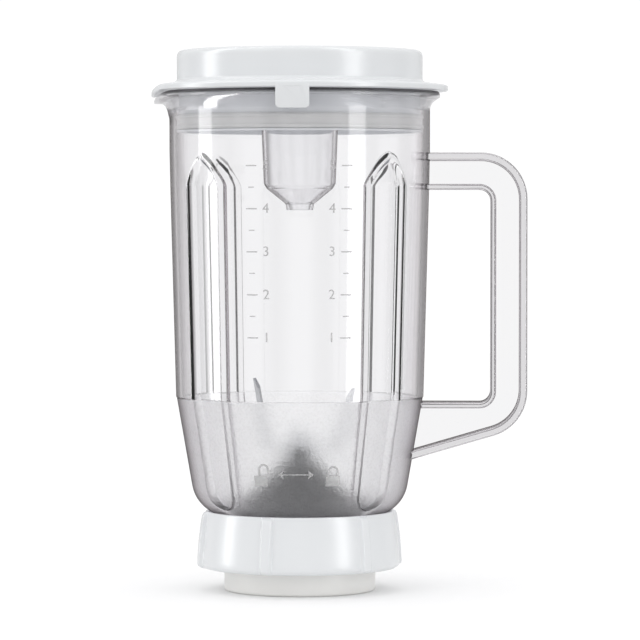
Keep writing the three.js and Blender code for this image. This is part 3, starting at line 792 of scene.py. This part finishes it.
def padlock(lift):
    """A lock's body and shackle; lift raises the shackle and swings one end free."""
    body = [(-3.4, -4.6), (3.4, -4.6), (3.4, 0.4), (-3.4, 0.4)]
    outer_r, inner_r, bend, foot = 2.6, 1.7, 2.4, 0.2
    swing = 1.6 * lift
    outer = arc(swing, bend + lift, outer_r, 0, 180, 12)
    inner = arc(swing, bend + lift, inner_r, 180, 0, 12)
    shackle = [(outer_r + swing, foot + lift)] + outer
    shackle += [(-outer_r + swing, foot), (-inner_r + swing, foot)] + inner
    shackle += [(inner_r + swing, foot + lift)]
    return [prism("part", outline, -MARK_DEPTH, MARK_DEPTH, 0.1) for outline in (body, shackle)]


def turn_marks():
    """A double-headed arrow between an open and a closed padlock, above the collar."""
    middle = TURN_MARKS["middle"]
    height = TURN_MARKS["height"]
    pieces = [wrapped(bar(-6.5, 6.5, -0.3, 0.3), middle, height)]
    for side in (-1, 1):
        head = [(side * 5.6, -2.2), (side * 8.4, 0), (side * 5.6, 2.2), (side * 6.4, 0)]
        outline = head if side > 0 else head[::-1]
        pieces.append(wrapped(prism("head", outline, -MARK_DEPTH, MARK_DEPTH, 0.1), middle, height))
    for side, lift in ((-1, 1.0), (1, 0.0)):
        angle = side * TURN_MARKS["locks"] + middle + 0.4
        pieces += [wrapped(part, angle, height - 1) for part in padlock(lift)]
    return merged("turn_marks", pieces)


# ------------------------------------------------------------------ materials
def shader(name):
    """A new node material: the material and its node tree, with only an output node."""
    mat = bpy.data.materials.new(name)
    mat.use_nodes = True
    tree = mat.node_tree
    tree.nodes.clear()
    tree.nodes.new("ShaderNodeOutputMaterial")
    return mat, tree


def node(tree, kind, links=None, **properties):
    """Adds a node, sets its properties and feeds its sockets from other nodes' outputs."""
    made = tree.nodes.new(kind)
    for key, value in properties.items():
        setattr(made, key, value)
    for key, source in (links or {}).items():
        tree.links.new(source, made.inputs[key])
    return made


def output(tree, surface, volume=None):
    end = tree.nodes["Material Output"]
    tree.links.new(surface, end.inputs["Surface"])
    if volume is not None:
        tree.links.new(volume, end.inputs["Volume"])


def place(tree):
    return node(tree, "ShaderNodeTexCoord").outputs["Object"]


def noise(tree, scale, detail=4.0, roughness=0.55, stretch=None):
    where = place(tree)
    if stretch is not None:
        mapping = node(tree, "ShaderNodeMapping", {"Vector": where})
        mapping.inputs["Scale"].default_value = stretch
        where = mapping.outputs["Vector"]
    texture = node(tree, "ShaderNodeTexNoise", {"Vector": where})
    texture.inputs["Scale"].default_value = scale
    texture.inputs["Detail"].default_value = detail
    texture.inputs["Roughness"].default_value = roughness
    return texture.outputs["Fac"]


def span(tree, source, low, high, start=0.0, end=1.0):
    """Maps a 0 to 1 value between start and end onto low to high."""
    made = node(tree, "ShaderNodeMapRange", {"Value": source})
    made.inputs["From Min"].default_value = start
    made.inputs["From Max"].default_value = end
    made.inputs["To Min"].default_value = low
    made.inputs["To Max"].default_value = high
    return made.outputs["Result"]


def ramp(tree, source, *stops):
    """A colour ramp; each stop is a place and a grey level or an (r, g, b) colour."""
    made = node(tree, "ShaderNodeValToRGB", {"Fac": source})
    elements = made.color_ramp.elements
    while len(elements) < len(stops):
        elements.new(0.5)
    for element, (where, colour) in zip(elements, stops):
        if not isinstance(colour, tuple):
            colour = (colour, colour, colour)
        element.position = where
        element.color = (*colour, 1)
    return made.outputs["Color"]


def mix_shaders(tree, share, first, second):
    """A share of the second surface laid over the first."""
    made = node(tree, "ShaderNodeMixShader", {"Fac": share, 1: first, 2: second})
    return made.outputs["Shader"]


def mix_colours(tree, share, first, second):
    """A share of a fixed (r, g, b) colour laid over a colour."""
    made = node(tree, "ShaderNodeMix", {"Factor": share, 6: first}, data_type="RGBA")
    made.inputs[7].default_value = (*second, 1)
    return made.outputs[2]


def maths(tree, operation, first, second=None):
    """A Math node; its second value is a node's output or a plain number."""
    made = node(tree, "ShaderNodeMath", {0: first}, operation=operation)
    if isinstance(second, (int, float)):
        made.inputs[1].default_value = second
    elif second is not None:
        tree.links.new(second, made.inputs[1])
    return made.outputs[0]


def see_through(tree, colour=(1, 1, 1)):
    clear = node(tree, "ShaderNodeBsdfTransparent")
    clear.inputs["Color"].default_value = (*colour, 1)
    return clear.outputs["BSDF"]


def glossy_body(tree, tint, uneven, normal, ior=1.5):
    body = node(
        tree, "ShaderNodeBsdfPrincipled", {"Base Color": tint, "Roughness": uneven, "Normal": normal}
    )
    body.inputs["IOR"].default_value = ior
    return body


def bump(tree, height, strength, distance):
    made = node(tree, "ShaderNodeBump", {"Height": height})
    made.inputs["Strength"].default_value = strength
    made.inputs["Distance"].default_value = distance * MM
    return made.outputs["Normal"]


def moulded(name, colour, roughness, grain=0.05, mottle=0.02, uneven_by=0.05):
    """Moulded plastic: faint mottling, slightly uneven gloss and a very fine surface grain."""
    mat, tree = shader(name)
    darker = tuple(c * (1 - 2 * mottle) for c in colour)
    tint = ramp(tree, noise(tree, 22), (0.3, darker), (0.7, colour))
    uneven = span(tree, noise(tree, 90, 3), roughness - uneven_by, roughness + uneven_by, 0.3, 0.7)
    fine = bump(tree, noise(tree, 1900, 2), grain, 0.05)
    output(tree, glossy_body(tree, tint, uneven, fine).outputs["BSDF"])
    return mat


def metal(name, colour, roughness, stretch, brushed=0.35):
    """Metal with fine brush lines drawn out along one direction, and uneven gloss."""
    mat, tree = shader(name)
    lines = noise(tree, 900, 5, 0.6, stretch)
    tint = ramp(tree, lines, (0.25, tuple(c * 0.86 for c in colour)), (0.75, colour))
    uneven = span(tree, lines, roughness - 0.07, roughness + 0.1, 0.25, 0.75)
    fine = bump(tree, lines, brushed, 0.04)
    body = glossy_body(tree, tint, uneven, fine)
    body.inputs["Metallic"].default_value = 1.0
    output(tree, body.outputs["BSDF"])
    return mat


def rubber(name, colour, roughness=0.62):
    mat, tree = shader(name)
    tint = ramp(tree, noise(tree, 60, 5), (0.3, tuple(c * 0.9 for c in colour)), (0.7, colour))
    uneven = span(tree, noise(tree, 260, 4), roughness - 0.08, roughness + 0.1, 0.3, 0.7)
    fine = bump(tree, noise(tree, 1400, 4), 0.25, 0.06)
    output(tree, glossy_body(tree, tint, uneven, fine, 1.42).outputs["BSDF"])
    return mat


def lets_light_by(tree, surface, tint):
    """Shadow rays and the light of matt surfaces pass straight through, so that what stands inside
    stays lit."""
    path = node(tree, "ShaderNodeLightPath")
    for ray in ("Is Diffuse Ray", "Is Shadow Ray"):
        surface = mix_shaders(tree, path.outputs[ray], surface, see_through(tree, tint))
    return surface


def painted_edge_shade(tree):
    """Painted shade: nearly colourless where the surface is seen square on, and painted dark grey where it
    is seen along, for the dark outlines that bent plastic shows at its silhouette.
    """
    edge = node(tree, "ShaderNodeLayerWeight")
    edge.inputs["Blend"].default_value = 0.5
    return ramp(
        tree, edge.outputs["Facing"],
        (0.0, (0.995, 0.995, 0.998)), (0.48, (0.985, 0.983, 0.988)), (0.62, (0.94, 0.93, 0.94)),
        (0.72, (0.78, 0.76, 0.77)), (0.85, (0.48, 0.46, 0.465)), (1.0, (0.16, 0.15, 0.15)),
    )


def frosting(tree, tint):
    """A finely pebbled surface: light scatters on its way through, and a little stays as bloom."""
    grain = noise(tree, 820, 3, 0.6)
    pebbled = bump(tree, grain, 0.9, 0.4)
    specks = ramp(tree, grain, (0.4, 0.95), (0.54, 1.0))
    speckle = node(tree, "ShaderNodeMix", {6: tint, 7: specks}, data_type="RGBA", blend_type="MULTIPLY")
    speckle.inputs[0].default_value = 1.0
    inputs = {"Color": speckle.outputs[2], "Normal": pebbled}
    through = node(tree, "ShaderNodeBsdfGlass", inputs)
    through.inputs["IOR"].default_value = 1.2
    through.inputs["Roughness"].default_value = 0.42
    bloom = node(tree, "ShaderNodeBsdfDiffuse", inputs)
    cover = span(tree, grain, 0.02, 0.07, 0.35, 0.65)
    return mix_shaders(tree, cover, through.outputs["BSDF"], bloom.outputs["BSDF"])


def clear_plastic(name, density, frost_top=None, lip=None):
    """Clear polished plastic with painted shade: its tint is painted darker towards its silhouette. Below
    frost_top millimetres it is frosted.
    Above lip millimetres its tint is painted nearly black, a painted shadow of the gap under the lid's
    flange, and the flare just below that is thin."""
    mat, tree = shader(name)
    # painted shade: the tint darkens towards the silhouette, and the frosted band below takes the same
    # painted shade
    tint = painted_edge_shade(tree)
    height = node(tree, "ShaderNodeSeparateXYZ", {"Vector": place(tree)}).outputs["Z"]
    if lip is not None:
        low, high = (lip - 0.3) * MM, (lip + 0.3) * MM
        at_flare = span(tree, height, 0.0, 0.8, (lip - 8.0) * MM, (lip - 6.0) * MM)
        tint = mix_colours(tree, at_flare, tint, (0.98, 0.98, 0.985))
        # painted shadow: above the lip height the tint turns nearly black, for the dark gap under the lid's
        # flange
        tint = mix_colours(tree, span(tree, height, 0.0, 0.8, low, high), tint, (0.14, 0.13, 0.13))
    polish = bump(tree, noise(tree, 38, 3, 0.5), 0.02, 0.3)
    glass = node(tree, "ShaderNodeBsdfGlass", {"Color": tint, "Normal": polish})
    glass.inputs["IOR"].default_value = 1.46
    glass.inputs["Roughness"].default_value = 0.0
    surface = glass.outputs["BSDF"]
    if frost_top is not None:
        band = span(tree, height, 1.0, 0.0, (frost_top - 0.2) * MM, (frost_top + 0.2) * MM)
        surface = mix_shaders(tree, band, surface, frosting(tree, tint))
    if lip is not None:
        below_lip = span(tree, height, 0.85, 0.0, low, high)
        thin = maths(tree, "MULTIPLY", at_flare, below_lip)
        surface = mix_shaders(tree, thin, surface, see_through(tree, (0.97, 0.97, 0.975)))
    absorbed = node(tree, "ShaderNodeVolumeAbsorption")
    absorbed.inputs["Color"].default_value = (0.62, 0.60, 0.62, 1)
    absorbed.inputs["Density"].default_value = density
    output(tree, lets_light_by(tree, surface, (0.95, 0.95, 0.96)), absorbed.outputs["Volume"])
    return mat


def raised_marks_painted_shade(name):
    """Small raised shapes on clear plastic, painted grey as painted shade for the shadows at their edges:
    part of the light passes through.
    """
    mat, tree = shader(name)
    # painted shade: a grey tint stands in for the shadowed edges of the clear raised marks
    tint = ramp(tree, noise(tree, 300), (0.3, 0.48), (0.7, 0.58))
    body = node(tree, "ShaderNodeBsdfPrincipled", {"Base Color": tint})
    body.inputs["Roughness"].default_value = 0.35
    cover = span(tree, noise(tree, 500), 0.5, 0.7, 0.3, 0.7)
    output(tree, mix_shaders(tree, cover, see_through(tree), body.outputs["BSDF"]))
    return mat


MARKS = raised_marks_painted_shade("raised_marks_painted_shade")
WHITE = moulded("white_plastic", (0.765, 0.78, 0.795), 0.24, 0.012, 0.006, 0.015)
WARM = moulded("warm_white_plastic", (0.9, 0.895, 0.875), 0.42, 0.08)
DARK = moulded("dark_plastic", (0.045, 0.045, 0.048), 0.42, 0.3, 0.1)
SILICONE = rubber("seal_silicone", (0.72, 0.72, 0.71), 0.45)
BLACK_RUBBER = rubber("dark_rubber", (0.035, 0.035, 0.037))
STEEL = metal("brushed_steel", (0.8, 0.81, 0.82), 0.38, (1, 1, 0.06))
BLADE_STEEL = metal("blade_steel", (0.62, 0.63, 0.65), 0.3, (0.06, 1, 0.06))
BRONZE = metal("bearing_bronze", (0.55, 0.4, 0.2), 0.42, (1, 1, 0.2), 0.5)
CLEAR = clear_plastic("clear_plastic", 34.0)
# from 237.6 mm up, the wall's tint is the painted shadow under the lid's flange
CLEAR_WALL = clear_plastic("frosted_clear_plastic", 18.0, FROST_TOP["z"], 237.6)


def finish(obj, mat):
    obj.data.materials.clear()
    obj.data.materials.append(mat)
    return obj


# ------------------------------------------------------------------ assembly
finish(stands_for(jug_wall(), "jug", "clear_plastic", "jug_body"), CLEAR_WALL)
finish(stands_for(scale_marks(), "jug", "clear_plastic"), MARKS)
finish(stands_for(turn_marks(), "jug", "clear_plastic"), MARKS)
finish(stands_for(jug_handle(), "jug", "clear_plastic", "jug_handle"), CLEAR)
finish(stands_for(lid_cover(), "lid", "white_plastic", "lid"), WHITE)
finish(stands_for(plug_seal(), "lid", "seal_silicone", "lid_seal"), SILICONE)
finish(stands_for(filler_funnel(), "funnel", "clear_plastic", "funnel"), CLEAR)
finish(stands_for(locking_collar(), "collar", "white_plastic", "locking_collar"), WHITE)
finish(stands_for(drive_skirt(), "blade_unit", "warm_white_plastic", "base_skirt"), WARM)
finish(stands_for(blade_carrier(), "blade_unit", "dark_plastic", "blade_carrier"), DARK)
for number, screw in enumerate(carrier_screws(), 1):
    screw.name = f"skirt_screw_{number}"
    finish(stands_for(screw, "blade_unit", "steel", f"carrier_screw_{number}"), STEEL)
lower_cutter = blade("lower_cutter", "down", "out", 63.6, 94)
upper_cutter = blade("upper_cutter", "up_wide", "up", 65.4, 20)
finish(stands_for(lower_cutter, "rotor", "steel", "blade_lower"), BLADE_STEEL)
finish(stands_for(upper_cutter, "rotor", "steel", "blade_upper"), BLADE_STEEL)
finish(stands_for(cap_nut(), "rotor", "steel", "blade_nut"), STEEL)
finish(stands_for(drive_dog(), "rotor", "dark_plastic", "drive_coupling"), DARK)

CAD_FINISHES = {
    "jug_gasket": BLACK_RUBBER, "shaft_seal": BLACK_RUBBER,
    "lower_bearing": BRONZE, "upper_bearing": BRONZE, "thrust_washer": BRONZE,
    "drive_shaft": STEEL, "blade_spacer": STEEL, "blade_washer": STEEL,
    "retaining_ring": STEEL, "coupling_screw": STEEL,
}
for name, mat in CAD_FINISHES.items():
    finish(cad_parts[name], mat)

# ------------------------------------------------------------------ floor
FLOOR = {"radius": 480, "rings": 24, "fade": (0.07, 0.36), "under_skirt": (0.0335, 0.0342)}


def flat_disc(name, radius, rings, segments=96):
    """A flat round sheet at z = 0 with its face up."""
    vertices = [(0, 0, 0)]
    for i in range(1, rings + 1):
        vertices += [(x, y, 0) for x, y in polygon(radius * MM * i / rings, segments)]
    faces = [(0, 1 + k, 1 + (k + 1) % segments) for k in range(segments)]
    for i in range(rings - 1):
        a, b = 1 + i * segments, 1 + (i + 1) * segments
        for k in range(segments):
            j = (k + 1) % segments
            faces.append((a + k, b + k, b + j, a + j))
    mesh = bpy.data.meshes.new(name)
    mesh.from_pydata(vertices, [], faces)
    obj = bpy.data.objects.new(name, mesh)
    bpy.context.scene.collection.objects.link(obj)
    return obj


def pale_floor():
    """Matt and pale; it fades out with distance, and is open from below and under the skirt."""
    mat, tree = shader("pale_floor")
    tint = ramp(tree, noise(tree, 6), (0.3, 0.93), (0.7, 0.95))
    body = node(tree, "ShaderNodeBsdfDiffuse", {"Color": tint})
    distance = node(tree, "ShaderNodeVectorMath", {"Vector": place(tree)}, operation="LENGTH")
    distance = distance.outputs["Value"]
    fade = span(tree, distance, 0.0, 1.0, *FLOOR["fade"])
    under_skirt = span(tree, distance, 1.0, 0.0, *FLOOR["under_skirt"])
    underside = node(tree, "ShaderNodeNewGeometry").outputs["Backfacing"]
    gone = maths(tree, "MAXIMUM", maths(tree, "MAXIMUM", fade, underside), under_skirt)
    output(tree, mix_shaders(tree, gone, body.outputs["BSDF"], see_through(tree)))
    return mat


floor = flat_disc("floor", FLOOR["radius"], FLOOR["rings"])
finish(floor, pale_floor())

# ------------------------------------------------------------------ light
WHITE_LEVEL = 1.05
STRIPS = {"azimuths": (54.5, -89), "level": 6.4, "inner": 6.5, "outer": 9.5}


def studio():
    """Pale surroundings: white to the camera, even for matt surfaces, and panels with darker gaps
    between them for what is seen in reflections and through bent plastic. Two tall bright strips
    are seen only in reflections."""
    world = bpy.data.worlds.new("studio")
    bpy.context.scene.world = world
    world.use_nodes = True
    tree = world.node_tree
    tree.nodes.clear()
    end = tree.nodes.new("ShaderNodeOutputWorld")
    path = node(tree, "ShaderNodeLightPath")
    direction = node(tree, "ShaderNodeTexCoord").outputs["Generated"]
    axes = node(tree, "ShaderNodeSeparateXYZ", {"Vector": direction})
    turn = maths(tree, "ARCTAN2", axes.outputs["X"], axes.outputs["Y"])

    def panels(dark, bright):
        """Brightness round the horizon: eight bright panels a turn, with soft sides."""
        wave = maths(tree, "COSINE", maths(tree, "MULTIPLY", turn, 8))
        return span(tree, wave, dark, bright, -0.7, 0.2)

    def with_strip(level, azimuth):
        """The same brightness with a strip at an azimuth from -Y added to it."""
        off = maths(tree, "SUBTRACT", turn, math.radians(180 - azimuth))
        inner = math.cos(math.radians(STRIPS["inner"]))
        outer = math.cos(math.radians(STRIPS["outer"]))
        strip = span(tree, maths(tree, "COSINE", off), 0.0, STRIPS["level"], outer, inner)
        return maths(tree, "ADD", strip, level)

    def when(ray, level, otherwise):
        """One brightness for rays of a kind, and another for the rest."""
        made = node(tree, "ShaderNodeMix", {"Factor": path.outputs[ray], "A": otherwise}, data_type="FLOAT")
        if isinstance(level, float):
            made.inputs["B"].default_value = level
        else:
            tree.links.new(level, made.inputs["B"])
        return made.outputs["Result"]

    mirrored = panels(0.62, 0.9)
    for azimuth in STRIPS["azimuths"]:
        mirrored = with_strip(mirrored, azimuth)
    overhead = span(tree, axes.outputs["Z"], 0.78, 1.2, 0.0, 0.8)
    level = when("Is Camera Ray", WHITE_LEVEL, overhead)
    level = when("Is Glossy Ray", mirrored, level)
    level = when("Is Transmission Ray", panels(0.48, 0.96), level)
    seen = node(tree, "ShaderNodeBackground", {"Strength": level})
    seen.inputs["Color"].default_value = (1, 1, 1, 1)
    tree.links.new(seen.outputs["Background"], end.inputs["Surface"])


def soft_light(name, azimuth, height, distance, size, power):
    data = bpy.data.lights.new(name, "AREA")
    data.shape = "DISK"
    data.size = size
    data.energy = power
    lamp = bpy.data.objects.new(name, data)
    bpy.context.scene.collection.objects.link(lamp)
    t = math.radians(azimuth)
    lamp.location = (distance * math.sin(t), -distance * math.cos(t), height)
    aim = Vector((0, 0, 0.13)) - lamp.location
    lamp.rotation_euler = aim.to_track_quat("-Z", "Y").to_euler()


studio()
soft_light("key", -38, 1.2, 1.3, 1.0, 2.0)
soft_light("fill", 42, 1.0, 1.5, 1.2, 1.0)

# ------------------------------------------------------------------ camera
CAMERA = {
    "lens": 204.7, "distance": 1.746, "azimuth": 2.5, "height": 0.183,
    "aim_z": 0.1296, "aim_side": 0.0097,
}


def add_camera():
    data = bpy.data.cameras.new("camera")
    data.lens = CAMERA["lens"]
    data.sensor_width = 36
    data.clip_end = 20
    camera = bpy.data.objects.new("camera", data)
    bpy.context.scene.collection.objects.link(camera)
    bpy.context.scene.camera = camera
    t = math.radians(CAMERA["azimuth"])
    aside = Vector((math.cos(t), math.sin(t), 0)) * CAMERA["aim_side"]
    back = Vector((math.sin(t), -math.cos(t), 0)) * CAMERA["distance"]
    camera.location = back + aside + Vector((0, 0, CAMERA["height"]))
    target = aside + Vector((0, 0, CAMERA["aim_z"]))
    camera.rotation_euler = (target - camera.location).to_track_quat("-Z", "Y").to_euler()


add_camera()
bpy.context.scene.view_settings.view_transform = "Standard"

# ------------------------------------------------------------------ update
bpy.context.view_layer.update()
